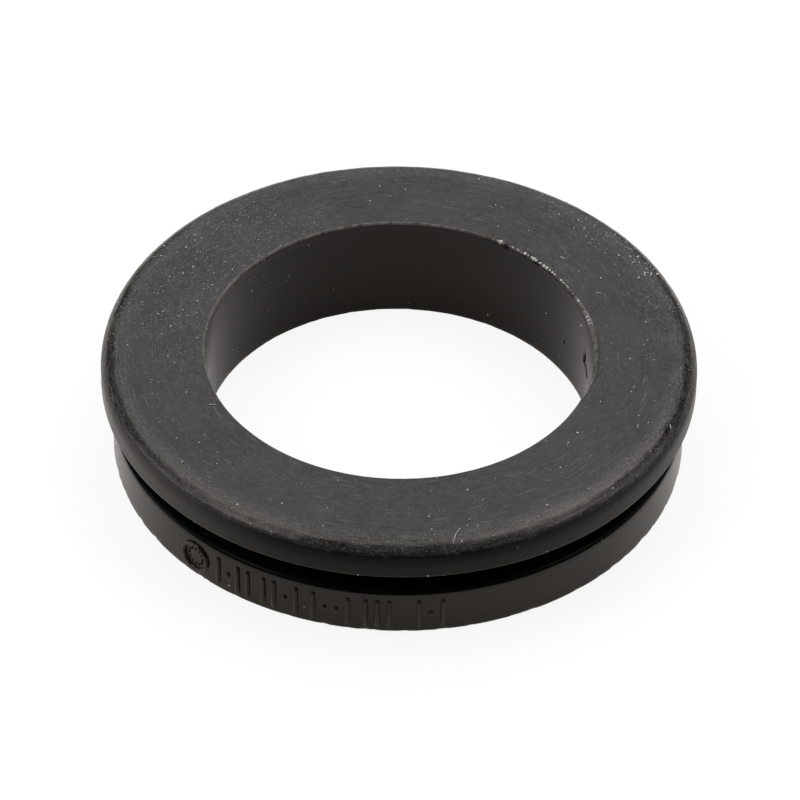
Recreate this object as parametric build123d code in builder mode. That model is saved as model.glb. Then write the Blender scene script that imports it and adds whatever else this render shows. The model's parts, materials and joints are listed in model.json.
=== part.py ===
"""Sealing ring: the moulded rubber seal of a claw-type hose coupling.

One piece of black rubber with a plain round bore.  Its foot is a thick flange that sits in
the coupling's seat, its top is a wider lip whose flat face meets the mating coupling, and
the groove between them lets the lip bend.  The lip's upper edge is a full round shoulder, so
that it slides under the coupling's claws, while its lower edge is left crisp.  All of it is
one turned section, so the whole ring is a single revolution about the bore's axis.

The origin is the centre of the foot, on the surface that the ring stands on, with +Z up.
"""

import os

from build123d import *

# ---- Driving dimensions, in millimetres ----

# Across the ring, from the bore outwards
bore_diameter = 22.2
web_wall = 3.4
flange_overhang = 1.9
lip_overhang = 2.5

# Up the ring, from the foot to the sealing face
flange_thickness = 3.0
groove_width = 1.65
lip_thickness = 2.05

# Rounded edges of the section
foot_edge_radius = 0.15
flange_edge_radius = 0.4
groove_corner_radius = 0.3
lip_lower_edge_radius = 0.15
lip_shoulder_radius = 1.0
bore_edge_radius = 0.08

# ---- Radii and heights that follow ----

bore_radius = bore_diameter / 2
web_radius = bore_radius + web_wall
flange_radius = web_radius + flange_overhang
lip_radius = web_radius + lip_overhang

lip_underside = flange_thickness + groove_width
overall_height = lip_underside + lip_thickness

# The shoulder stays inside the lip: it leaves a flat face above and a standing edge below.
shoulder_room = min(lip_radius - bore_radius - bore_edge_radius, lip_thickness - lip_lower_edge_radius)
shoulder_radius = min(lip_shoulder_radius, 0.95 * shoulder_room)


# ---- The ring ----

with BuildPart() as sealing_ring:
    with BuildSketch(Plane.XZ) as section:
        with BuildLine():
            Polyline(
                (bore_radius, 0),
                (flange_radius, 0),
                (flange_radius, flange_thickness),
                (web_radius, flange_thickness),
                (web_radius, lip_underside),
                (lip_radius, lip_underside),
                (lip_radius, overall_height),
                (bore_radius, overall_height),
                close=True,
            )
        make_face()

        # The flange: a rounded upper edge, and a foot edge that is hardly broken
        flange_top_corner = section.vertices().sort_by_distance((flange_radius, flange_thickness))[0]
        fillet(flange_top_corner, radius=flange_edge_radius)
        foot_corner = section.vertices().sort_by_distance((flange_radius, 0))[0]
        fillet(foot_corner, radius=foot_edge_radius)

        # The groove: its two inner corners, where the web meets the flange and the lip
        groove_foot_corner = section.vertices().sort_by_distance((web_radius, flange_thickness))[0]
        groove_lip_corner = section.vertices().sort_by_distance((web_radius, lip_underside))[0]
        fillet([groove_foot_corner, groove_lip_corner], radius=groove_corner_radius)

        # The lip: a crisp lower edge under a round shoulder
        lip_lower_corner = section.vertices().sort_by_distance((lip_radius, lip_underside))[0]
        fillet(lip_lower_corner, radius=lip_lower_edge_radius)
        lip_upper_corner = section.vertices().sort_by_distance((lip_radius, overall_height))[0]
        fillet(lip_upper_corner, radius=shoulder_radius)

        # The bore's upper edge is only just broken
        bore_top_corner = section.vertices().sort_by_distance((bore_radius, overall_height))[0]
        fillet(bore_top_corner, radius=bore_edge_radius)
    revolve(axis=Axis.Z)

sealing_ring.part.label = "sealing_ring"

os.makedirs("parts", exist_ok=True)
export_step(sealing_ring.part, "parts/sealing_ring.step")

print(f"ring {2 * lip_radius:.2f} mm across, {overall_height:.2f} mm high, bore {bore_diameter:.2f} mm")
print(f"volume {sealing_ring.part.volume:.1f} cubic mm")
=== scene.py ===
# %% [markdown]
# # A moulded rubber sealing ring
#
# This lesson dresses one small rubber seal: a wide lip with a finely ground top face, a
# groove, and a foot flange, all moulded in one piece of black rubber.  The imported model
# gives the real sizes.  Everything here is about how such a ring looks when it comes out
# of its bag: a dull grey bloom, sharp trimmed edges with crumbs of flash, dust and lint.
#
# The ring's shape follows a rule, a section carried round a circle, so Geometry Nodes make
# it.  So do the mould marks, the crumbs and the dust, because they repeat.  The flaws in
# the bore are one of a kind, and are pressed into the finished mesh one by one.

# %% Load the frame and keep its box
import json
import math
from types import SimpleNamespace

import bmesh
import bpy
import numpy as np
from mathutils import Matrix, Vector


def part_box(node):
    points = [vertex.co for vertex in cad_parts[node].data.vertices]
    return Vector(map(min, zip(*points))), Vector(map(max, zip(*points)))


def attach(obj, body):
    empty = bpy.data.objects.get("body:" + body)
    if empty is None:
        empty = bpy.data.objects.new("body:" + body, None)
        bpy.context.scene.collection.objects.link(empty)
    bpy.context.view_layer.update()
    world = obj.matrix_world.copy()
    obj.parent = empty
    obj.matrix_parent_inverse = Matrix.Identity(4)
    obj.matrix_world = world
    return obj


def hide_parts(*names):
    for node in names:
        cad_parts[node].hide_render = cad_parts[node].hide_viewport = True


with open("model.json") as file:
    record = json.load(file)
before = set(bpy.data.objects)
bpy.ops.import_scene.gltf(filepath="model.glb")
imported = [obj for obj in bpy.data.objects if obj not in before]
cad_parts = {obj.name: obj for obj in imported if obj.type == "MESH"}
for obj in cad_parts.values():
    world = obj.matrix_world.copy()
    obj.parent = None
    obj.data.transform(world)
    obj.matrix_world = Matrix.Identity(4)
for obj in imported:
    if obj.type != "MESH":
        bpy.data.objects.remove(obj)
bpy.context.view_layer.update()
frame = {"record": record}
MM = 0.001

# %% [markdown]
# ## Sizes
#
# The outside of the ring and the bore are read from the frame.  The section's other sizes
# are the ones that the ring is moulded to, in metres, each named once here and used by
# every step below.

# %% Name the ring's sizes
_, ring_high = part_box("sealing_ring")
mounts = {mount["name"]: mount for mount in frame["record"]["mounts"]}

height = ring_high.z
lip_radius = ring_high.x
bore_radius = mounts["bore"]["dims"]["r_mm"] * MM
flange_radius = 16.4 * MM
web_radius = 14.5 * MM
flange_thickness = 3.0 * MM
lip_underside = 4.65 * MM
shoulder_arcs = [
    # radius, tilt at its start and at its end in degrees, steps: from the flat face outwards
    (7.0 * MM, 0, 6, 5),
    (0.94 * MM, 6, 78, 15),
    (1.6 * MM, 78, 90, 3),
]

# The same places in millimetres, to the nearest micrometre, for the patterns of the skin.
top = round(height / MM, 3)
rim = round(lip_radius / MM, 3)
wall = round(bore_radius / MM, 3)
foot_rim = round(flange_radius / MM, 3)
foot_top = round(flange_thickness / MM, 3)
under_lip = round(lip_underside / MM, 3)
print(f"lip {2 * rim:.2f} mm across, bore {2 * wall:.2f} mm, {top:.2f} mm high")

# %% [markdown]
# ## Writing node trees
#
# Every tree below is written with the same few helpers.  `node` adds a node, sets its
# options, and fills its inputs in the order that the editor shows them: a socket is linked,
# a number is typed in, and None leaves an input as it is.  `mesh_with` makes the points
# that a tree starts from, `tree_with_inputs` starts a Geometry Nodes tree whose sizes are
# named inputs, and `grow` runs it and keeps the result as a plain mesh.

# %% Helpers for node trees
def node(tree, kind, *values, **options):
    """Add a node, set its options, and fill its inputs in order."""
    made = tree.nodes.new(kind)
    for name, option in options.items():
        setattr(made, name, option)
    sockets = [socket for socket in made.inputs if socket.enabled and not socket.is_unavailable]
    for socket, value in zip(sockets, values):
        if isinstance(value, bpy.types.NodeSocket):
            tree.links.new(value, socket)
        elif value is not None:
            socket.default_value = value
    return made


def result(made, name=None):
    """The named output of a node, or the first one that is in use."""
    shown = [socket for socket in made.outputs if socket.enabled and not socket.is_unavailable]
    return shown[0] if name is None else next(socket for socket in shown if socket.name == name)


def maths(tree, operation, *values):
    """The result of a Math node."""
    return result(node(tree, "ShaderNodeMath", *values, operation=operation))


def vectors(tree, operation, *values):
    """The result of a Vector Math node."""
    return result(node(tree, "ShaderNodeVectorMath", *values, operation=operation))


def product(tree, *shares):
    """Several shares from 0 to 1, multiplied."""
    total = shares[0]
    for share in shares[1:]:
        total = maths(tree, "MULTIPLY", total, share)
    return total


def weighed(tree, first, weight, second, other_weight):
    """Two values added, each times its own weight."""
    return maths(tree, "ADD", product(tree, first, weight), product(tree, second, other_weight))


def scaled(tree, vector, factor):
    """A vector made longer or shorter."""
    made = node(tree, "ShaderNodeVectorMath", vector, operation="SCALE")
    tree.links.new(factor, made.inputs["Scale"])
    return result(made)


def blend(tree, share, low, high):
    """Mix two colours, or two numbers, by a share from 0 to 1."""
    def is_colour(value):
        return isinstance(value, tuple) or getattr(value, "type", "") == "RGBA"

    if is_colour(low) or is_colour(high):
        return node(tree, "ShaderNodeMix", share, low, high, data_type="RGBA").outputs[2]
    return node(tree, "ShaderNodeMix", share, low, high, data_type="FLOAT").outputs[0]


def between(tree, value, low, high, out_low=0.0, out_high=1.0, smooth=True):
    """Ease a value from one range to another, held at both ends."""
    kind = "SMOOTHSTEP" if smooth else "LINEAR"
    limits = (low, high, out_low, out_high)
    return result(node(tree, "ShaderNodeMapRange", value, *limits, interpolation_type=kind))


# %% Helpers for shapes
def position(tree):
    """Where each point of the geometry is."""
    return result(node(tree, "GeometryNodeInputPosition"))


def stored(tree, name, kind):
    """A number that the starting mesh carries on its points."""
    return result(node(tree, "GeometryNodeInputNamedAttribute", name, data_type=kind))


def circle_curve(tree, points, radius):
    """A circle as a curve."""
    return result(node(tree, "GeometryNodeCurvePrimitiveCircle", points, radius, mode="RADIUS"))


def joined(tree, *pieces):
    """Several pieces as one geometry."""
    made = node(tree, "GeometryNodeJoinGeometry")
    for piece in pieces:
        tree.links.new(piece, made.inputs[0])
    return result(made)


def mesh_with(name, places, edges, **numbers):
    """A mesh of points and edges, with named numbers on its points."""
    mesh = bpy.data.meshes.new(name)
    mesh.from_pydata(places, edges, [])
    for label, values in numbers.items():
        kind = "INT" if isinstance(values[0], int) else "FLOAT"
        mesh.attributes.new(label, kind, "POINT").data.foreach_set("value", values)
    return mesh


# %% Start, finish and run a tree
def tree_with_inputs(name, inputs):
    """A Geometry Nodes tree with a geometry in and out, and a named input for each size."""
    tree = bpy.data.node_groups.new(name, "GeometryNodeTree")
    tree.interface.new_socket("Geometry", in_out="INPUT", socket_type="NodeSocketGeometry")
    for label, value in inputs.items():
        kind = "NodeSocketInt" if isinstance(value, int) else "NodeSocketFloat"
        socket = tree.interface.new_socket(label, in_out="INPUT", socket_type=kind)
        socket.default_value = value
    tree.interface.new_socket("Geometry", in_out="OUTPUT", socket_type="NodeSocketGeometry")
    start = tree.nodes.new("NodeGroupInput")
    return tree, {socket.name: socket for socket in start.outputs}


def finish_tree(tree, geometry, material, *others):
    """Every tree ends the same way: real meshes, a material, perhaps others in some places, out."""
    real = result(node(tree, "GeometryNodeRealizeInstances", geometry))
    painted = result(node(tree, "GeometryNodeSetMaterial", real, None, material))
    for where, other_material in others:
        painted = result(node(tree, "GeometryNodeSetMaterial", painted, where, other_material))
    tree.links.new(painted, tree.nodes.new("NodeGroupOutput").inputs[0])


def grow(name, base_mesh, tree, inputs):
    """Run a tree on a base mesh, and return the result as a plain mesh object."""
    seed_object = bpy.data.objects.new(name + "_base", base_mesh)
    bpy.context.scene.collection.objects.link(seed_object)
    modifier = seed_object.modifiers.new("nodes", "NODES")
    modifier.node_group = tree
    sockets = [item for item in tree.interface.items_tree if item.in_out == "INPUT"]
    identifiers = {socket.name: socket.identifier for socket in sockets}
    for label, value in inputs.items():
        modifier[identifiers[label]] = value
    evaluated = seed_object.evaluated_get(bpy.context.evaluated_depsgraph_get())
    mesh = bpy.data.meshes.new_from_object(evaluated)
    seed_object.modifiers.remove(modifier)
    bpy.data.objects.remove(seed_object)
    mesh.name = name
    piece = bpy.data.objects.new(name, mesh)
    bpy.context.scene.collection.objects.link(piece)
    triangles = sum(len(polygon.vertices) - 2 for polygon in mesh.polygons)
    print(f"{name}: {len(mesh.vertices)} points, {triangles} triangles")
    return piece


# %% Helpers for places on the ring
def ring_places(tree, place):
    """A place in millimetres, its radius, its height, and its point on the unit circle."""
    point = vectors(tree, "MULTIPLY", place, (1000, 1000, 1000))
    parts = node(tree, "ShaderNodeSeparateXYZ", point)
    x, y, up = (parts.outputs[name] for name in "XYZ")
    radius = maths(tree, "SQRT", weighed(tree, x, x, y, y))
    return point, radius, up, maths(tree, "DIVIDE", x, radius), maths(tree, "DIVIDE", y, radius)


def noise(tree, point, scale, detail=3.0, roughness=0.55):
    """A noise of about 0 to 1 at a point, with its scale in waves per millimetre."""
    return result(node(tree, "ShaderNodeTexNoise", point, scale, detail, roughness))


# %% [markdown]
# ## The rubber
#
# The whole ring is one black compound, but a mould and a grinding wheel leave it with
# different skins.  The face is ground flat, so it is a dry grey with fine rings from the
# wheel.  The shoulder and the lip's side keep the satin skin of a blasted mould.  The
# foot and the bore touched polished steel, and are smoother and a little brown.
#
# One set of nodes tells the skins apart by radius and height, read from Object coordinates.
# How strongly a skin mirrors the lamps is a plain number on its shader, so the same nodes
# are made four times with four levels, and the sweep further down gives each skin its own.
# The rings of the wheel are a noise drawn on the angle and the radius, far finer along
# the radius than round the ring, so they follow the ring as real ones do.

# %% Find the skins and their patterns
def wheel_rings(tree, skin, per_radian, per_millimetre, detail):
    """A noise that is long round the ring and narrow along the radius."""
    round_x = product(tree, skin.across, per_radian)
    round_y = product(tree, skin.along, per_radian)
    outwards = product(tree, skin.radius, per_millimetre)
    spot = result(node(tree, "ShaderNodeCombineXYZ", round_x, round_y, outwards))
    return noise(tree, spot, 1.0, detail, 0.7)


def rubber_skin(tree):
    """Where each skin is, and the patterns that its colour, roughness and relief share."""
    place = result(node(tree, "ShaderNodeTexCoord"), "Object")
    point, radius, up, across, along = ring_places(tree, place)
    skin = SimpleNamespace(point=point, radius=radius, up=up, across=across, along=along)

    # The ground face, the lip's side, the bore, the foot, and the crest where hands rub it.
    fray = noise(tree, point, 3.0, 3.0)
    below_edge = between(tree, up, top - 0.04, top - 0.1)
    skin.face = between(tree, maths(tree, "MULTIPLY_ADD", fray, 0.55, up), top - 0.28, top - 0.10)
    skin.side = between(tree, up, top - 0.35, top - 0.6)
    skin.bore = product(tree, between(tree, radius, wall + 0.2, wall + 0.1), below_edge)
    skin.foot = between(tree, up, under_lip + 0.01, under_lip - 0.05)
    skin.rubbed = between(tree, radius, rim - 1.8, rim - 1.0)

    # The wheel's rings in a coarse and a fine set, and three sizes of unevenness.
    skin.rings = wheel_rings(tree, skin, 6.0, 3.2, 4.0)
    skin.fine_rings = wheel_rings(tree, skin, 15.0, 6.5, 2.0)
    skin.cloud = noise(tree, point, 0.35, 3.0)
    skin.mottle = noise(tree, point, 2.2, 3.0, 0.65)
    skin.grain = noise(tree, point, 7.0, 2.0)
    skin.streaks = weighed(tree, skin.rings, 0.30, skin.fine_rings, 0.22)
    patches = weighed(tree, skin.cloud, 0.20, skin.mottle, 0.28)
    skin.bloom = between(tree, maths(tree, "ADD", skin.streaks, patches), 0.385, 0.62, smooth=False)
    return skin


# %% Colour the ground face
def face_colour(tree, skin):
    """A dry grey bloom on black, a little warmer towards the crest, with powder in the grain."""
    colour = blend(tree, skin.bloom, (0.0055, 0.0054, 0.0062, 1), (0.0345, 0.0337, 0.0375, 1))
    crest_colour = blend(tree, skin.bloom, (0.007, 0.0067, 0.0061, 1), (0.033, 0.0312, 0.0288, 1))
    colour = blend(tree, between(tree, skin.radius, rim - 1.1, rim - 0.65), colour, crest_colour)
    powder = product(tree, between(tree, skin.grain, 0.58, 0.74), 0.24)
    colour = blend(tree, powder, colour, (0.22, 0.21, 0.20, 1))

    # Dust too fine to model is thick at the back left, the back right and the crest.
    left = between(tree, weighed(tree, skin.along, 0.5, skin.across, -0.87), 0.55, 0.98)
    right = between(tree, weighed(tree, skin.along, 0.5, skin.across, 0.87), 0.7, 0.98)
    right = product(tree, right, between(tree, skin.radius, rim - 3.4, rim - 2.0))
    crest_dust = maths(tree, "MULTIPLY_ADD", skin.rubbed, 0.6, 0.15)
    dusty = maths(tree, "MAXIMUM", maths(tree, "MAXIMUM", left, right), crest_dust)
    specks = between(tree, noise(tree, skin.point, 11.0, 1.0), 0.60, 0.74)
    hairlines = between(tree, wheel_rings(tree, skin, 9.0, 12.0, 1.0), 0.64, 0.74)
    marked = maths(tree, "MAXIMUM", product(tree, specks, dusty, 0.55), product(tree, hairlines, 0.24))
    return blend(tree, marked, colour, (0.20, 0.20, 0.205, 1))


# %% Colour the moulded skins
def lip_colour(tree, skin):
    """The shoulder, and the side below it, with painted shade under the round and a painted sheen at its
    ends.
    """
    shoulder_colour = blend(tree, skin.bloom, (0.012, 0.011, 0.0098, 1), (0.027, 0.025, 0.022, 1))
    # Painted shade: the side is darker just under the round and paler lower down.
    below_round = between(tree, skin.up, top - 1.0, top - 1.5)
    side_colour = blend(tree, below_round, (0.0025, 0.0024, 0.0022, 1), (0.0095, 0.0092, 0.0074, 1))
    # Painted sheen: the side is paler towards its left end, and a little towards its right end.
    painted_end_sheen = between(tree, skin.across, -0.3, -1.0)
    painted_end_sheen = maths(tree, "MAXIMUM", painted_end_sheen, between(tree, skin.across, 0.2, 0.8, 0.0, 0.25))
    side_colour = blend(tree, painted_end_sheen, side_colour, (0.044, 0.040, 0.035, 1))
    return blend(tree, skin.side, shoulder_colour, side_colour)


def foot_colour(tree, skin):
    """The foot, darker under the lip and paler and browner towards its lower edge as painted shade and
    light, and the groove, painted almost black as shade.
    """
    # Painted shade and light: darkest just under the lip, paler towards the lower edge, with a random
    # cloud mixed in.
    low = between(tree, skin.up, foot_top - 0.3, foot_top - 2.2)
    painted_light_and_cloud = product(tree, maths(tree, "ADD", low, skin.cloud), 0.5)
    colour = blend(tree, painted_light_and_cloud, (0.0045, 0.0040, 0.0030, 1), (0.0205, 0.0172, 0.0124, 1))
    # Painted shade: the groove and the top of the foot under the lip are painted almost black.
    in_groove = between(tree, skin.up, foot_top - 0.28, foot_top - 0.14)
    return blend(tree, in_groove, colour, (0.002, 0.0030, 0.0032, 1))


def edge_highlight_and_scuff(tree, skin):
    """How pale the bore's top edge is: a painted highlight where the edge catches the light, with pale
    scuffing, widest on the right.
    """
    reach = between(tree, skin.across, 0.90, 0.99, wall + 0.10, wall + 0.24)
    lowest = between(tree, skin.across, 0.90, 0.99, top - 0.22, top - 0.40)
    inward = between(tree, maths(tree, "SUBTRACT", reach, skin.radius), 0.0, 0.06)
    upward = between(tree, maths(tree, "SUBTRACT", skin.up, lowest), 0.0, 0.12)
    return product(tree, inward, upward, between(tree, skin.mottle, 0.30, 0.62, 0.25, 0.95))


# %% Roughness and relief
def rubber_roughness(tree, skin):
    """A dry face, a satin shoulder, a dull side, and a smoother foot and bore."""
    face = between(tree, skin.streaks, 0.20, 0.32, 0.44, 0.56)
    face = maths(tree, "MULTIPLY_ADD", skin.rubbed, -0.23, face)
    lip = between(tree, skin.up, top - 0.2, top - 0.8, 0.38, 0.32)
    rough = blend(tree, skin.face, blend(tree, skin.foot, lip, 0.22), face)
    rough = blend(tree, skin.bore, rough, 0.22)
    return maths(tree, "ADD", rough, between(tree, skin.grain, 0.3, 0.7, -0.03, 0.03))


def rubber_relief(tree, skin):
    """Relief too fine for the mesh: the wheel's rings on the face, a grain everywhere."""
    ring_depth = maths(tree, "MULTIPLY_ADD", skin.rubbed, 0.014, 0.020)
    ring_pattern = maths(tree, "ADD", skin.rings, product(tree, skin.fine_rings, 0.5))
    ring_relief = product(tree, ring_pattern, skin.face, ring_depth)
    grain_depth = blend(tree, maths(tree, "MAXIMUM", skin.foot, skin.bore), 0.0032, 0.0008)
    relief = maths(tree, "ADD", ring_relief, product(tree, skin.grain, grain_depth))
    bump = node(tree, "ShaderNodeBump", 1.0, 1.0, None, product(tree, relief, MM))
    bump.inputs["Distance"].default_value = 1.0
    return bump.outputs["Normal"]


# %% Mix the rubber
def rubber_material(name, specular_level):
    """The rubber's nodes, with one specular level."""
    material = bpy.data.materials.new(name)
    material.use_nodes = True
    tree = material.node_tree
    shader = tree.nodes["Principled BSDF"]
    skin = rubber_skin(tree)
    colour = blend(tree, skin.foot, lip_colour(tree, skin), foot_colour(tree, skin))
    colour = blend(tree, skin.face, colour, face_colour(tree, skin))
    bore_colour = blend(tree, skin.mottle, (0.002, 0.0015, 0.0010, 1), (0.008, 0.0056, 0.0034, 1))
    colour = blend(tree, skin.bore, colour, bore_colour)
    # Painted highlight, with pale scuffing, along the bore's top edge.
    colour = blend(tree, edge_highlight_and_scuff(tree, skin), colour, (0.15, 0.138, 0.130, 1))
    tree.links.new(colour, shader.inputs["Base Color"])
    tree.links.new(rubber_roughness(tree, skin), shader.inputs["Roughness"])
    tree.links.new(rubber_relief(tree, skin), shader.inputs["Normal"])
    shader.inputs["Specular IOR Level"].default_value = specular_level
    shader.inputs["Specular Tint"].default_value = (1.0, 0.925, 0.83, 1)
    return material


black_rubber = rubber_material("black_rubber", 0.25)
dull_rubber = rubber_material("dull_rubber", 0.09)
groove_rubber = rubber_material("groove_rubber", 0.02)
bore_rubber = rubber_material("bore_rubber", 0.18)
rubbers = [black_rubber, dull_rubber, groove_rubber, bore_rubber]
print("finishes mixed:", [rubber.name for rubber in rubbers])

# %% [markdown]
# ## The ring
#
# The real ring comes from a mould: one closed section, the same all the way round.  A
# Screw modifier could turn it, but a sweep in a tree keeps its rounds and steps as numbers.
# The section is drawn as its corners.  Each corner carries two numbers, how far its edge
# is rounded and how many steps the round takes.  The shoulder is the exception: the face
# falls into it softly, so its three arcs are worked out here, point by point.

# %% Draw the section's corners
def shoulder_line():
    """The face's soft fall, the shoulder's round and the side's swell, as points from outside in."""
    def run_and_drop(radius, start, end):
        start, end = math.radians(start), math.radians(end)
        return radius * (math.sin(end) - math.sin(start)), radius * (math.cos(start) - math.cos(end))

    out = lip_radius - sum(run_and_drop(radius, start, end)[0] for radius, start, end, _ in shoulder_arcs)
    up = height
    points = [(out, up)]
    for radius, start, end, steps in shoulder_arcs:
        for step in range(1, steps + 1):
            run, drop = run_and_drop(radius, start, start + (end - start) * step / steps)
            points.append((out + run, up - drop))
        out, up = points[-1]
    return points[::-1]


section_corners = [
    # radius, height, edge radius, steps in the round
    (bore_radius, 0, 0.06 * MM, 2),
    (flange_radius, 0, 0.15 * MM, 3),
    (flange_radius, flange_thickness, 0.40 * MM, 7),
    (web_radius, flange_thickness, 0.30 * MM, 3),
    (web_radius, lip_underside, 0.30 * MM, 3),
    (lip_radius, lip_underside, 0.15 * MM, 3),
    *[(radius, up, 0.0, 1) for radius, up in shoulder_line()],
    (bore_radius, height, 0.08 * MM, 3),
]
middle_radius = (bore_radius + lip_radius) / 2


def section_mesh():
    """The section as a loop of points beside the path that it will follow."""
    # The sweep turns a profile's Y axis downwards, so the heights are drawn negative.
    points = [(radius - middle_radius, -up, 0) for radius, up, _, _ in section_corners]
    edges = [(index, (index + 1) % len(points)) for index in range(len(points))]
    rounds = [float(corner[2]) for corner in section_corners]
    steps = [corner[3] for corner in section_corners]
    return mesh_with("section", points, edges, edge_radius=rounds, edge_steps=steps)


print("section corners:", len(section_corners))

# %% [markdown]
# ## Wear
#
# Rubber is soft when it leaves the mould, and its edges are cut and torn free of flash.
# So the skin swells by hundredths of a millimetre, the foot's edges are nibbled, and the
# bore's top edge is torn in one place and rubbed down beside it.  Sculpting could do it,
# but a few noises, each held to its own edge, stay adjustable and cost no hand work.

# %% Wear, pressed into the skin
def worn(tree, geometry, given):
    """Move the skin by hundredths of a millimetre, as moulding, trimming and handling do."""
    point, radius, up, across, along = ring_places(tree, position(tree))

    # The whole skin is a little uneven, and the crest of the shoulder a little more.
    swell = maths(tree, "SUBTRACT", noise(tree, point, 0.25, 2.0), 0.5)
    crest = between(tree, up, top - 0.8, top - 0.4)
    crest = product(tree, crest, between(tree, radius, rim - 1.0, rim - 0.6))
    ripple = maths(tree, "SUBTRACT", noise(tree, point, 1.3, 3.0), 0.5)
    skin = maths(tree, "MULTIPLY", swell, given["Skin unevenness"])
    crest_wave = product(tree, crest, ripple, given["Crest ripple"])

    # The foot's two edges are trimmed by hand, and are nibbled all round.
    outer = between(tree, radius, foot_rim - 0.5, foot_rim - 0.1)
    inner = between(tree, radius, wall + 0.4, wall + 0.05, 0.0, 0.35)
    bitten = maths(tree, "SUBTRACT", noise(tree, point, 1.25, 4.0), 0.5)
    bitten = maths(tree, "MAXIMUM", bitten, 0.0)
    either = maths(tree, "MAXIMUM", outer, inner)
    foot_loss = product(tree, between(tree, up, 0.35, 0.05), either, bitten, given["Foot edge loss"])

    # The bore's top edge is torn over a short arc at the back, on the right.
    arc = product(tree, between(tree, along, 0.34, 0.44), between(tree, along, 0.93, 0.87))
    arc = product(tree, arc, between(tree, across, 0, 0.1))
    close = between(tree, radius, wall + 0.5, wall + 0.1)
    close = product(tree, close, between(tree, up, top - 0.4, top - 0.1))
    torn = maths(tree, "SUBTRACT", noise(tree, point, 2.1, 2.0), 0.48)
    torn = maths(tree, "MAXIMUM", torn, 0.0)
    tear = product(tree, close, arc, torn, given["Torn edge loss"])

    # Beside the tear, on the far right, the same edge is rubbed down to a narrow bevel.
    right = product(tree, between(tree, across, 0.0, 0.1), between(tree, along, -0.30, -0.14))
    right = product(tree, right, between(tree, along, 0.26, 0.16))
    inwards = between(tree, radius, wall + 0.32, wall, smooth=False)
    upwards = between(tree, up, top - 0.32, top, smooth=False)
    bevel = product(tree, right, product(tree, inwards, upwards), given["Bevel loss"])

    gained = maths(tree, "ADD", skin, crest_wave)
    lost = maths(tree, "ADD", foot_loss, maths(tree, "ADD", tear, bevel))
    normal = result(node(tree, "GeometryNodeInputNormal"))
    offset = scaled(tree, normal, maths(tree, "SUBTRACT", gained, lost))
    moved = result(node(tree, "GeometryNodeSetPosition", geometry, None, None, offset))

    # Nothing goes below the surface that the ring lies on.
    floor_kept = vectors(tree, "MAXIMUM", position(tree), (-1, -1, 0))
    return result(node(tree, "GeometryNodeSetPosition", moved, None, floor_kept))


# %% [markdown]
# ## The sweep
#
# The tree rounds the section's corners, cuts its straight runs into short steps, so that
# the wear has points to move, and carries it round a circle through the middle of the
# rubber.  At the end it gives each skin its own rubber, by radius and height.

# %% Sweep the section round the bore
def ring_tree():
    sizes = {
        "Path radius": 0.014,
        "Steps round": 512,
        "Section step": 0.00018,
        "Skin unevenness": 0.00003,
        "Crest ripple": 0.00006,
        "Foot edge loss": 0.0003,
        "Torn edge loss": 0.0006,
        "Bevel loss": 0.00016,
    }
    tree, given = tree_with_inputs("ring_from_section", sizes)
    curve = result(node(tree, "GeometryNodeMeshToCurve", given["Geometry"]))
    steps = stored(tree, "edge_steps", "INT")
    rounding = stored(tree, "edge_radius", "FLOAT")
    rounded = result(node(tree, "GeometryNodeFilletCurve", curve, steps, rounding, True, mode="POLY"))

    # Cut each straight run into steps of about the same length.
    here = position(tree)
    index = result(node(tree, "GeometryNodeInputIndex"))
    following = result(node(tree, "GeometryNodeOffsetPointInCurve", index, 1), "Point Index")
    kinds = {"data_type": "FLOAT_VECTOR", "domain": "POINT"}
    there = result(node(tree, "GeometryNodeFieldAtIndex", here, following, **kinds))
    run = result(node(tree, "ShaderNodeVectorMath", here, there, operation="DISTANCE"), "Value")
    cuts = maths(tree, "FLOOR", maths(tree, "DIVIDE", run, given["Section step"]))
    stepped = result(node(tree, "GeometryNodeSubdivideCurve", rounded, cuts))

    path = circle_curve(tree, given["Steps round"], given["Path radius"])
    swept = result(node(tree, "GeometryNodeCurveToMesh", path, stepped))
    outward = result(node(tree, "GeometryNodeFlipFaces", swept))

    # The bore, the groove and the lip's side, up to the round of its shoulder, have the duller skin.
    _, radius, up, _, _ = ring_places(tree, position(tree))

    def over(value, limit):
        kinds = {"data_type": "FLOAT", "operation": "GREATER_THAN"}
        return result(node(tree, "FunctionNodeCompare", value, limit, **kinds))

    def logic(operation, first, second):
        return result(node(tree, "FunctionNodeBooleanMath", first, second, operation=operation))

    mid_height = logic("NIMPLY", over(up, foot_top - 0.24), over(up, top - 0.37))
    outside = logic("AND", over(radius, rim - 3.0), mid_height)
    in_groove = logic("NIMPLY", outside, logic("OR", over(radius, rim - 0.5), over(up, under_lip + 0.01)))
    inside = logic("NIMPLY", over(top - 0.1, up), over(radius, wall + 0.2))
    skins = [(outside, dull_rubber), (in_groove, groove_rubber), (inside, bore_rubber)]
    finish_tree(tree, worn(tree, outward, given), black_rubber, *skins)
    return tree


ring = grow("rubber_ring", section_mesh(), ring_tree(), {"Path radius": middle_radius})
ring.data.shade_smooth()

# %% [markdown]
# ## The nick, the slit and the pits in the bore
#
# Something sharp has caught the bore's right side: it left a nick with a raised lip, a
# crooked slit below it, and two small pits further round.  These are one of a kind, so no
# tree is needed.  The bore's faces are split finely in a small window round each, and the
# points are then pressed into the wall by their distance from the line of the flaw.

# %% Helpers for a flaw
def split_window(mesh, low_degrees, high_degrees, low, high):
    """Split the bore's faces finely inside a window of angle and height."""
    work = bmesh.new()
    work.from_mesh(mesh)
    edges = set()
    for face in work.faces:
        centre = face.calc_center_median()
        degrees = math.degrees(math.atan2(centre.y, centre.x))
        on_bore = math.hypot(centre.x, centre.y) < bore_radius + 0.05 * MM
        if on_bore and low_degrees < degrees < high_degrees and low < centre.z < high:
            edges.update(face.edges)
    bmesh.ops.subdivide_edges(work, edges=list(edges), cuts=3, use_grid_fill=True)
    work.to_mesh(mesh)
    work.free()


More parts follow.
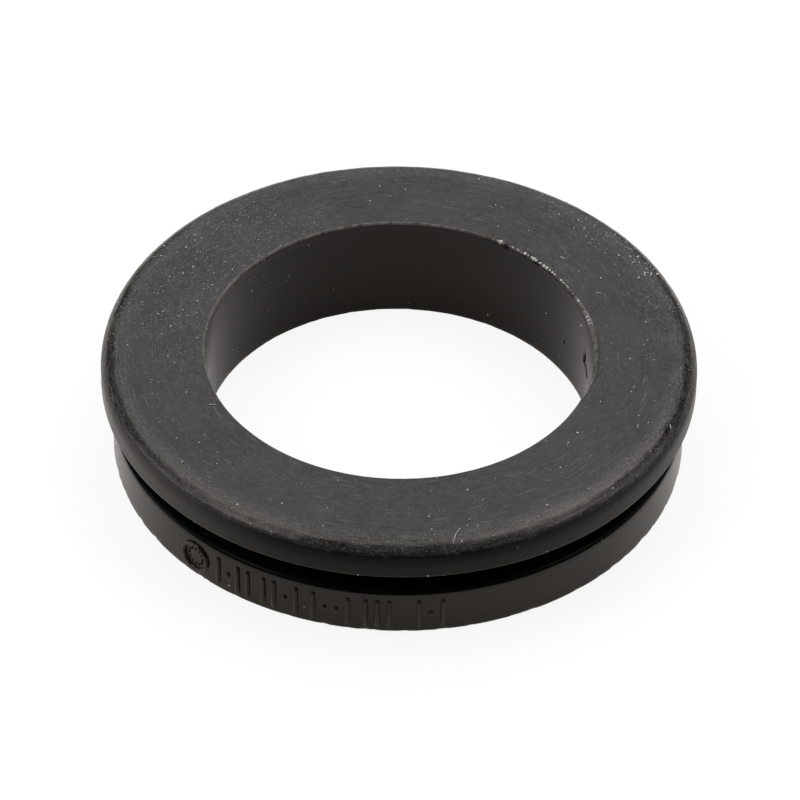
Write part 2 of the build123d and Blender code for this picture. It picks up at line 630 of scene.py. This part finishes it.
def press_line(mesh, line, depth, half_width, lip_height):
    """Press a groove with a raised lip into the bore, along a line of (degrees, height)."""
    corners = [np.array([math.radians(degrees) * bore_radius, up]) for degrees, up in line]
    pressed = 0
    for point in mesh.vertices:
        radius = math.hypot(point.co.x, point.co.y)
        if radius > bore_radius + 0.05 * MM:
            continue
        angle = math.atan2(point.co.y, point.co.x)
        spot = np.array([angle * bore_radius, point.co.z])
        if np.linalg.norm(spot - corners[0]) > 3 * MM:
            continue
        nearest, side, along_share = 1.0, 1.0, 0.0
        for number, (start, end) in enumerate(zip(corners, corners[1:])):
            run = end - start
            share = min(1.0, max(0.0, float(np.dot(spot - start, run) / np.dot(run, run))))
            away = spot - (start + share * run)
            if np.linalg.norm(away) < nearest:
                nearest = float(np.linalg.norm(away))
                side = float(np.sign(run[0] * away[1] - run[1] * away[0]))
                along_share = (number + share) / (len(corners) - 1)
        fade = 1.0 - 0.45 * along_share
        groove = depth * fade * math.exp(-((nearest / (half_width * fade)) ** 4))
        from_lip = (nearest - 1.7 * half_width) / (0.8 * half_width)
        lip = lip_height * math.exp(-(from_lip ** 2)) if side > 0 else 0.0
        push = groove - lip
        if abs(push) > 0.001 * MM:
            point.co.x += math.cos(angle) * push
            point.co.y += math.sin(angle) * push
            pressed += 1
    print("points pressed:", pressed)


# %% Press the flaws into the bore
nick = [(14.7, 3.72 * MM), (15.2, 3.30 * MM)]
slit = [(15.2, 3.30 * MM), (13.9, 3.18 * MM), (12.7, 3.02 * MM), (11.5, 2.70 * MM)]
pit = [(29.95, 2.43 * MM), (29.65, 2.38 * MM)]
shallow_pit = [(32.3, 2.43 * MM), (32.1, 2.40 * MM)]
split_window(ring.data, 10.0, 17.0, 2.3 * MM, 4.2 * MM)
split_window(ring.data, 28.5, 33.5, 2.0 * MM, 2.8 * MM)
press_line(ring.data, nick, 0.34 * MM, 0.13 * MM, 0.04 * MM)
press_line(ring.data, slit, 0.22 * MM, 0.075 * MM, 0.03 * MM)
press_line(ring.data, pit, 0.13 * MM, 0.075 * MM, 0.01 * MM)
press_line(ring.data, shallow_pit, 0.05 * MM, 0.06 * MM, 0.0)
ring.data.update()
print("ring triangles:", sum(len(polygon.vertices) - 2 for polygon in ring.data.polygons))

# %% [markdown]
# ## Where the ring belongs
#
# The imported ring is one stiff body, so each piece here rides on it.  The dressed ring
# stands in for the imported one, in the same place and at the same size, and its slot names
# what it is made of.

# %% Ride and replace
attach(ring, "root")
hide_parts("sealing_ring")

# %% [markdown]
# ## Moulding marks
#
# The foot's rim carries raised marks from the mould: a dial that dates the mould, and
# rows of strokes and pips that count its cavities.  Each is a small solid, half sunk in
# the rim.  Cutting them by hand would repeat three shapes nineteen times, so a list says
# where each row starts, and a tree puts the right solid on each place.

# %% List the marks
DIAL, STROKE, PIP = 0, 1, 2
mark_height = 1.4 * MM
mark_groups = [
    # first degree from the front (left is negative), degrees from one to the next, kinds
    (-43.0, 0.0, [DIAL]),
    (-37.0, 2.3, [STROKE, PIP, STROKE, STROKE]),
    (-26.6, 2.3, [STROKE, STROKE, PIP, STROKE]),
    (-16.2, 2.3, [STROKE, PIP, PIP, STROKE]),
    (-5.8, 2.3, [STROKE, STROKE, STROKE]),
    (4.6, 2.3, [STROKE, PIP, STROKE]),
]


def marks_mesh():
    """One point for each mark, with the way that it faces and its kind."""
    marks = []
    for first, gap, kinds in mark_groups:
        marks += [(math.radians(first + gap * number), kind) for number, kind in enumerate(kinds)]

    def on_rim(turn):
        return (flange_radius * math.sin(turn), -flange_radius * math.cos(turn), mark_height)

    turns, kinds = zip(*marks)
    return mesh_with("marks", [on_rim(turn) for turn in turns], [], turn=turns, kind=kinds)


print("marks:", sum(len(kinds) for _, _, kinds in mark_groups))

# %% Grow the marks
def marks_tree():
    sizes = {
        "Stroke length": 0.0019,
        "Stroke width": 0.00030,
        "Dial radius": 0.00090,
        "Dial line": 0.00026,
        "Proud": 0.00016,
        "Dial pips": 12,
    }
    tree, given = tree_with_inputs("moulding_marks", sizes)
    half_width = product(tree, given["Stroke width"], 0.5)
    half_run = product(tree, maths(tree, "SUBTRACT", given["Stroke length"], given["Stroke width"]), 0.5)

    def lifted(piece, up):
        move = result(node(tree, "ShaderNodeCombineXYZ", 0.0, 0.0, up))
        return result(node(tree, "GeometryNodeTransform", piece, move))

    def flattened(piece, from_half):
        """Squeeze a solid towards the rim, so that it stands proud by the given amount."""
        thinner = maths(tree, "DIVIDE", given["Proud"], from_half)
        squeeze = result(node(tree, "ShaderNodeCombineXYZ", 1.0, thinner, 1.0))
        return result(node(tree, "GeometryNodeTransform", piece, None, None, squeeze))

    ball = result(node(tree, "GeometryNodeMeshUVSphere", 14, 8, half_width))
    both = joined(tree, lifted(ball, half_run), lifted(ball, product(tree, half_run, -1.0)))
    stroke = flattened(result(node(tree, "GeometryNodeConvexHull", both)), half_width)
    pip = flattened(ball, half_width)

    upright = (math.radians(90), 0, 0)
    half_line = product(tree, given["Dial line"], 0.5)
    dial_circle = circle_curve(tree, 48, given["Dial radius"])
    line = circle_curve(tree, 10, half_line)
    dial_rim = result(node(tree, "GeometryNodeCurveToMesh", dial_circle, line))
    pip_circle = circle_curve(tree, given["Dial pips"], product(tree, given["Dial radius"], 0.6))
    pip_places = result(node(tree, "GeometryNodeCurveToPoints", pip_circle, mode="EVALUATED"))
    small_pip = result(node(tree, "GeometryNodeMeshUVSphere", 8, 5, product(tree, half_width, 0.55)))
    small_pips = result(node(tree, "GeometryNodeInstanceOnPoints", pip_places, None, small_pip))
    dial = joined(tree, dial_rim, small_pips)
    dial = flattened(result(node(tree, "GeometryNodeTransform", dial, None, upright)), half_line)

    kind = stored(tree, "kind", "INT")
    facing = result(node(tree, "ShaderNodeCombineXYZ", 0.0, 0.0, stored(tree, "turn", "FLOAT")))
    placed = []
    for number, solid in ((PIP, pip), (STROKE, stroke), (DIAL, dial)):
        is_kind = node(tree, "FunctionNodeCompare", kind, number, data_type="INT", operation="EQUAL")
        standing = node(tree, "GeometryNodeInstanceOnPoints", given["Geometry"], result(is_kind), solid)
        tree.links.new(facing, standing.inputs["Rotation"])
        placed.append(result(standing))
    real = result(node(tree, "GeometryNodeRealizeInstances", joined(tree, *placed)))
    finish_tree(tree, result(node(tree, "GeometryNodeSetShadeSmooth", real)), black_rubber)
    return tree


marks = grow("moulding_marks", marks_mesh(), marks_tree(), {})
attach(marks, "root")

# %% [markdown]
# ## Crumbs and grains
#
# Trimming leaves crumbs of flash on the bore's top edge, and black rubber shows every grain
# of dust.  The largest are placed one by one: a list gives each one's radius, its degrees and
# its size, and a tree puts the same rough little lump on each, turned and squashed at
# random.  Pale paint would do from afar, but real lumps catch the light on one side.

# %% Mix the dust and the lint
def pale_material(name, low, high, roughness):
    """A dry, cloudy material between two pale colours."""
    material = bpy.data.materials.new(name)
    material.use_nodes = True
    tree = material.node_tree
    shader = tree.nodes["Principled BSDF"]
    place = result(node(tree, "ShaderNodeTexCoord"), "Object")
    point = vectors(tree, "MULTIPLY", place, (1000, 1000, 1000))
    shade = between(tree, noise(tree, point, 2.0, 2.0), 0.35, 0.65)
    tree.links.new(blend(tree, shade, low, high), shader.inputs["Base Color"])
    shader.inputs["Roughness"].default_value = roughness
    shader.inputs["Specular IOR Level"].default_value = 0.3
    return material


chalky_dust = pale_material("chalky_dust", (0.24, 0.23, 0.22, 1), (0.72, 0.70, 0.66, 1), 0.7)
grey_lint = pale_material("grey_lint", (0.26, 0.25, 0.23, 1), (0.50, 0.48, 0.45, 1), 0.6)
print("finishes mixed:", [pale.name for pale in (chalky_dust, grey_lint)])

# %% Put a lump on each point
def lump_on_points(tree, points, size, faces_level, roughness_of_shape):
    """Put a rough little lump on each point, turned at random."""
    ball = result(node(tree, "GeometryNodeMeshIcoSphere", 1.0, faces_level))
    here = position(tree)
    dents = noise(tree, here, 1.1, 2.0)
    bulge = maths(tree, "MULTIPLY_ADD", dents, roughness_of_shape, 1.0 - roughness_of_shape / 2)
    lump = result(node(tree, "GeometryNodeSetPosition", ball, None, scaled(tree, here, bulge)))

    def by_chance(low, high, seed=None):
        values = (low, high, None, seed)
        return result(node(tree, "FunctionNodeRandomValue", *values, data_type="FLOAT_VECTOR"))

    turn = by_chance((0, 0, 0), (6.28, 6.28, 6.28))
    sized = scaled(tree, by_chance((0.7, 0.7, 0.6), (1.3, 1.3, 1.0), 3), size)
    placed = node(tree, "GeometryNodeInstanceOnPoints", points, None, lump)
    tree.links.new(turn, placed.inputs["Rotation"])
    tree.links.new(sized, placed.inputs["Scale"])
    return result(placed)


# %% Place the crumbs and the large grains
edge_crumbs = [
    # degrees, size in mm, along the bore's top edge
    (60.8, 0.05), (59.3, 0.10), (58.3, 0.14), (57.2, 0.05), (54.0, 0.05), (52.1, 0.08), (51.7, 0.06),
    (49.3, 0.12), (48.1, 0.07), (46.5, 0.12), (45.6, 0.14), (44.7, 0.09), (43.2, 0.08), (41.4, 0.10),
    (40.1, 0.10), (38.8, 0.07), (37.5, 0.07), (36.4, 0.06), (33.1, 0.08), (31.8, 0.05), (29.5, 0.10),
    (26.0, 0.05), (22.5, 0.09), (17.3, 0.06), (14.8, 0.07), (13.0, 0.11), (11.7, 0.07), (-16.2, 0.06),
    (-17.2, 0.08), (-18.6, 0.05),
]
face_grains = [
    # radius in mm, degrees, size in mm
    (15.1, 145.8, 0.11), (15.1, 142.5, 0.06), (16.3, 147.7, 0.06), (15.6, 151.9, 0.05),
    (12.5, 144.5, 0.06), (14.8, 162.8, 0.07), (14.4, 161.5, 0.05), (11.9, 167.0, 0.06),
    (12.2, 162.3, 0.06), (12.0, 154.4, 0.05), (13.2, 28.5, 0.08), (15.2, 24.8, 0.10),
    (16.4, 24.8, 0.08), (15.2, 45.2, 0.08), (15.6, -11.0, 0.05), (12.3, -35.4, 0.07),
    (12.4, -40.0, 0.06), (13.6, -15.3, 0.05), (15.35, -82.8, 0.06), (15.6, -105.0, 0.06),
    (13.6, -69.7, 0.05), (13.65, -71.7, 0.06), (14.3, -70.2, 0.05), (14.9, -74.4, 0.06),
    (14.3, -82.9, 0.06), (16.4, -71.2, 0.06), (12.9, 42.0, 0.06), (14.8, 46.9, 0.05),
    (12.9, 54.7, 0.05), (12.4, 33.7, 0.06), (16.3, 36.5, 0.06), (16.4, 33.8, 0.05), (16.1, 31.0, 0.05),
    (16.0, 26.9, 0.06), (15.9, 29.4, 0.05), (16.4, 30.3, 0.05), (16.3, 27.2, 0.05), (15.7, 33.0, 0.04),
    (16.2, 39.6, 0.05), (15.6, 41.5, 0.05),
]
wall_grains = [
    # radius in mm, degrees, height in mm, size in mm
    (wall, 141.4, 4.8, 0.07), (wall, 110.9, 2.1, 0.04), (wall, 164.1, 0.9, 0.08),
    (foot_rim, -124.4, 0.65, 0.06), (foot_rim, -107.9, 1.05, 0.04),
    (rim, -97.0, 4.75, 0.04), (rim, -84.0, 4.8, 0.04),
]


def skin_height(radius):
    """How high the skin of the face and its shoulder is at a radius, both in millimetres."""
    radii, heights = zip(*reversed(shoulder_line()))
    return float(np.interp(radius * MM, radii, heights)) / MM


def on_ring(radius, degrees, up):
    """A place in metres from a radius and a height in millimetres."""
    turn = math.radians(degrees)
    return (radius * MM * math.cos(turn), radius * MM * math.sin(turn), up * MM)


def grains_mesh():
    """One point for each crumb and grain, with its size."""
    grains = [(wall, degrees, top, size) for degrees, size in edge_crumbs]
    grains += [(radius, degrees, skin_height(radius), size) for radius, degrees, size in face_grains]
    grains += wall_grains
    places = [on_ring(radius, degrees, up) for radius, degrees, up, _ in grains]
    return mesh_with("grains", places, [], size=[size * MM for _, _, _, size in grains])


def grains_tree():
    tree, given = tree_with_inputs("crumbs_and_grains", {"Size": 0.85})
    size = product(tree, stored(tree, "size", "FLOAT"), given["Size"])
    finish_tree(tree, lump_on_points(tree, given["Geometry"], size, 2, 0.9), chalky_dust)
    return tree


grains = grow("crumbs_and_grains", grains_mesh(), grains_tree(), {})
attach(grains, "root")

# %% [markdown]
# ## Fine dust
#
# The fine dust has no list: a tree scatters it over the ring's own skin, with a fixed
# seed.  It lies thicker at the back left and the back right, where the face was handled
# less, thin on the sides, and not at all where the foot meets the surface it lies on.

# %% Scatter the fine dust
def dust_tree():
    sizes = {"Grains per square metre": 4800000.0, "Smallest": 0.000018, "Largest": 0.000055, "Seed": 11}
    tree, given = tree_with_inputs("fine_dust", sizes)
    point, radius, up, across, along = ring_places(tree, position(tree))

    def towards(degrees, low, high):
        """A share that is 1 around one direction from the axis, and 0 away from it."""
        turn = math.radians(degrees)
        return between(tree, weighed(tree, across, math.cos(turn), along, math.sin(turn)), low, high)

    clumps = between(tree, noise(tree, point, 0.6, 3.0), 0.50, 0.66)
    left = towards(152, 0.78, 0.98)
    back_right = product(tree, towards(35, 0.86, 0.98), between(tree, radius, rim - 3.6, rim - 2.0))
    patches = maths(tree, "MAXIMUM", left, back_right)
    patches = maths(tree, "MULTIPLY_ADD", patches, 0.75, 0.09)
    thick = maths(tree, "ADD", patches, product(tree, clumps, 0.30))
    on_top = between(tree, up, top - 0.5, top - 0.15, 0.12, 1.0)
    off_floor = between(tree, up, 0.08, 0.3)
    density = product(tree, given["Grains per square metre"], thick, on_top, off_floor)
    skin = (given["Geometry"], None, density, given["Seed"])
    points = result(node(tree, "GeometryNodeDistributePointsOnFaces", *skin))
    chance = result(node(tree, "FunctionNodeRandomValue", 0.0, 1.0, None, 5, data_type="FLOAT"))
    mostly_small = maths(tree, "POWER", chance, 4.0)
    size = between(tree, mostly_small, 0, 1, given["Smallest"], given["Largest"], smooth=False)
    finish_tree(tree, lump_on_points(tree, points, size, 1, 0.6), chalky_dust)
    return tree


dust = grow("fine_dust", ring.data.copy(), dust_tree(), {})
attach(dust, "root")

# %% [markdown]
# ## Lint
#
# A few fibres from cloth or skin lie on the face.  The longer ones are drawn as
# two to four points in millimetres, and the short ones bend evenly from a middle, a turn
# and a length.  Hair particles would stand up, so a tree smooths each line where it lies
# and carries a small circle along it.

# %% Lay the fibres
fibres = [
    # a run of (x, y) on the face, in mm
    [(3.50, -15.10), (3.25, -15.55), (3.17, -15.90), (3.10, -16.16)],
    [(11.28, 4.95), (11.42, 4.97), (11.60, 4.94)],
    [(-10.62, -5.27), (-10.42, -5.22), (-10.22, -5.26)],
    [(13.45, -6.35), (13.38, -6.52), (13.42, -6.70)],
    [(15.22, -6.22), (15.26, -6.36), (15.24, -6.48)],
    [(14.10, 6.72), (14.22, 6.86), (14.38, 6.90)],
    [(14.62, 7.18), (14.75, 7.40)],
    [(9.28, 8.20), (9.40, 8.08), (9.52, 8.00)],
]
short_fibres = [
    # radius in mm and degrees of its middle, the way that it lies in degrees, length in mm
    (16.2, 28.3, 0, 0.30), (15.7, 25.5, 100, 0.42), (16.0, 24.8, 75, 0.35), (15.6, 29.8, 50, 0.28),
    (16.1, 31.1, 45, 0.22), (16.1, 34.0, -35, 0.26), (15.7, 39.7, 35, 0.20), (15.8, 44.3, 60, 0.18),
    (14.5, 40.6, 20, 0.20), (15.7, 31.8, -60, 0.20),
]


def bent_fibre(radius, degrees, lie, length):
    """Three points of a short fibre that bends evenly about its middle, in mm."""
    x, y, _ = (value / MM for value in on_ring(radius, degrees, 0))
    for share in (-0.5, 0.1, 0.5):
        turn = math.radians(lie + 30 * share)
        yield x + share * length * math.cos(turn), y + share * length * math.sin(turn)


def fibres_mesh():
    """The fibres' points and edges, lying on the face."""
    places, edges = [], []
    for run in fibres + [list(bent_fibre(*fibre)) for fibre in short_fibres]:
        first = len(places)
        places += [(x * MM, y * MM, (skin_height(math.hypot(x, y)) + 0.02) * MM) for x, y in run]
        edges += [(first + step, first + step + 1) for step in range(len(run) - 1)]
    return mesh_with("fibres", places, edges)


def fibres_tree():
    tree, given = tree_with_inputs("lint", {"Thickness": 0.00005, "Steps": 8})
    curve = result(node(tree, "GeometryNodeMeshToCurve", given["Geometry"]))
    smooth = result(node(tree, "GeometryNodeCurveSplineType", curve, spline_type="CATMULL_ROM"))
    steps = result(node(tree, "GeometryNodeSetSplineResolution", smooth, None, given["Steps"]))
    line = circle_curve(tree, 6, product(tree, given["Thickness"], 0.5))
    thread = result(node(tree, "GeometryNodeCurveToMesh", steps, line))
    thread.node.inputs["Fill Caps"].default_value = True
    finish_tree(tree, thread, grey_lint)
    return tree


lint = grow("lint", fibres_mesh(), fibres_tree(), {})
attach(lint, "root")

# %% [markdown]
# ## Camera
#
# A ring this small is best seen from the front and well above, at about 42 degrees: the
# face opens into an ellipse, and the groove and the foot still show below it.  A lens of
# about 220 mm, a hand's length and a half away, keeps the ellipse even.  A slight roll
# stands in for the way that a ring never lies quite square to the picture.

# %% Camera
camera_lens = 224.09  # mm
camera_distance = 287.8 * MM
camera_elevation = 41.891  # degrees
camera_roll = 0.883  # degrees
camera_target = Vector((0.088 * MM, 0, 2.636 * MM))


def aim_camera():
    data = bpy.data.cameras.new("camera")
    data.sensor_width = 36
    data.lens = camera_lens
    data.clip_start = 0.01
    camera = bpy.data.objects.new("camera", data)
    bpy.context.scene.collection.objects.link(camera)
    rise = math.radians(camera_elevation)
    camera.location = (0, -camera_distance * math.cos(rise), camera_distance * math.sin(rise))
    look = (camera_target - camera.location).to_track_quat("-Z", "Y")
    camera.rotation_euler = look.to_euler()
    camera.rotation_euler.rotate_axis("Z", math.radians(camera_roll))
    bpy.context.scene.camera = camera
    print("camera at, in mm:", [round(value / MM, 1) for value in camera.location])


aim_camera()

# %% [markdown]
# ## The paper
#
# Small black parts are usually shown on white paper.  A plain flat sheet takes the ring's
# shadow, and is almost its own white to the eye, so the shadow on it stays pale.  What the
# rubber mirrors of the paper is a little warm, which helps to give the foot its brown cast.

# %% Lay the paper
def make_floor():
    mesh = bpy.data.meshes.new("floor")
    reach = 1.0
    corners = [(-reach, -reach, 0), (reach, -reach, 0), (reach, reach, 0), (-reach, reach, 0)]
    mesh.from_pydata(corners, [], [(0, 1, 2, 3)])
    floor = bpy.data.objects.new("floor", mesh)
    bpy.context.scene.collection.objects.link(floor)
    material = bpy.data.materials.new("white_paper")
    material.use_nodes = True
    tree = material.node_tree
    shader = tree.nodes["Principled BSDF"]
    shader.inputs["Base Color"].default_value = (0.9, 0.9, 0.9, 1)
    shader.inputs["Roughness"].default_value = 0.8
    shader.inputs["Specular IOR Level"].default_value = 0.2

    # To the eye the paper is mostly its own white, so that the ring's shadow on it is pale.
    path = node(tree, "ShaderNodeLightPath")
    through = maths(tree, "MAXIMUM", path.outputs["Is Camera Ray"], path.outputs["Is Transmission Ray"])
    mirrored = path.outputs["Is Glossy Ray"]
    whiteness = maths(tree, "MAXIMUM", product(tree, through, 0.88), product(tree, mirrored, 0.40))
    paper_colour = blend(tree, mirrored, (1, 1, 1, 1), (1.0, 0.94, 0.87, 1))
    white = result(node(tree, "ShaderNodeEmission", paper_colour, 1.0))
    mixed = result(node(tree, "ShaderNodeMixShader", whiteness, shader.outputs[0], white))
    tree.links.new(mixed, tree.nodes["Material Output"].inputs["Surface"])
    mesh.materials.append(material)
    print("paper laid, in metres across:", 2 * reach)


make_floor()

# %% [markdown]
# ## Lamps
#
# Broad soft lamps stand behind the ring and at both sides of it, at several heights.  The
# light from the back skims over the face, which shows its ground finish, and the lamps at
# the sides draw the bright band along the shoulder.  Nothing stands straight in front, so
# the near side stays dark.  One big dome would be simpler, but would flatten the shoulder.

# %% Hang the lamps
lamp_distance = 0.6


def hang_lamp(name, azimuth, elevation, width, power):
    """A square soft lamp that looks at the ring.  Azimuth 0 is behind it, 90 on its right."""
    data = bpy.data.lights.new(name, "AREA")
    data.shape = "SQUARE"
    data.size = width
    data.energy = power
    lamp = bpy.data.objects.new(name, data)
    bpy.context.scene.collection.objects.link(lamp)
    turn, rise = math.radians(azimuth), math.radians(elevation)
    away = Vector((math.sin(turn) * math.cos(rise), math.cos(turn) * math.cos(rise), math.sin(rise)))
    lamp.location = away * lamp_distance
    lamp.rotation_euler = away.to_track_quat("Z", "Y").to_euler()


lamps = [
    # name, azimuth, elevation, width in metres, power in watts
    ("low_left", 270, 8, 0.30, 0.72),
    ("left", 270, 27, 0.30, 0.30),
    ("front_left", 243, 45, 0.24, 0.90),
    ("high_left", 278, 68, 0.24, 0.42),
    ("back", 0, 27, 0.30, 0.34),
    ("high_back", 0, 46, 0.28, 0.28),
    ("over_back", 0, 80, 0.26, 0.26),
    ("back_left", 332, 54, 0.22, 0.56),
    ("over_back_left", 312, 70, 0.24, 0.42),
    ("back_right", 27, 54, 0.22, 0.72),
    ("over_back_right", 50, 67, 0.22, 0.56),
    ("high_right", 84, 69, 0.22, 0.38),
    ("front_right", 106, 42, 0.24, 0.60),
    ("right", 80, 24, 0.30, 0.40),
]
for lamp in lamps:
    hang_lamp(*lamp)
print(f"{len(lamps)} lamps, {sum(lamp[4] for lamp in lamps):.2f} W in all")

# %% [markdown]
# ## The room
#
# The room gives the ring almost no light of its own.  Behind the paper the eye sees plain
# white, and reflections see that white only close to the horizon, like the far edge of a
# paper sweep.

# %% Light the room
room_light = 0.02


def make_world():
    world = bpy.data.worlds.new("studio")
    bpy.context.scene.world = world
    world.use_nodes = True
    tree = world.node_tree
    dim = tree.nodes["Background"]
    dim.inputs["Color"].default_value = (1, 1, 1, 1)
    dim.inputs["Strength"].default_value = room_light
    path = node(tree, "ShaderNodeLightPath")
    direction = result(node(tree, "ShaderNodeTexCoord"), "Generated")
    direction = node(tree, "ShaderNodeSeparateXYZ", direction)
    near_horizon = between(tree, direction.outputs["Z"], 0.08, 0.02)
    mirrored = product(tree, path.outputs["Is Glossy Ray"], near_horizon)
    through = maths(tree, "MAXIMUM", path.outputs["Is Camera Ray"], path.outputs["Is Transmission Ray"])
    white = result(node(tree, "ShaderNodeBackground", (1, 1, 1, 1), 1.0))
    whiteness = maths(tree, "MAXIMUM", through, mirrored)
    mixed = result(node(tree, "ShaderNodeMixShader", whiteness, result(dim), white))
    tree.links.new(mixed, tree.nodes["World Output"].inputs["Surface"])


make_world()
bpy.context.scene.view_settings.view_transform = "Standard"
print("room light:", room_light)
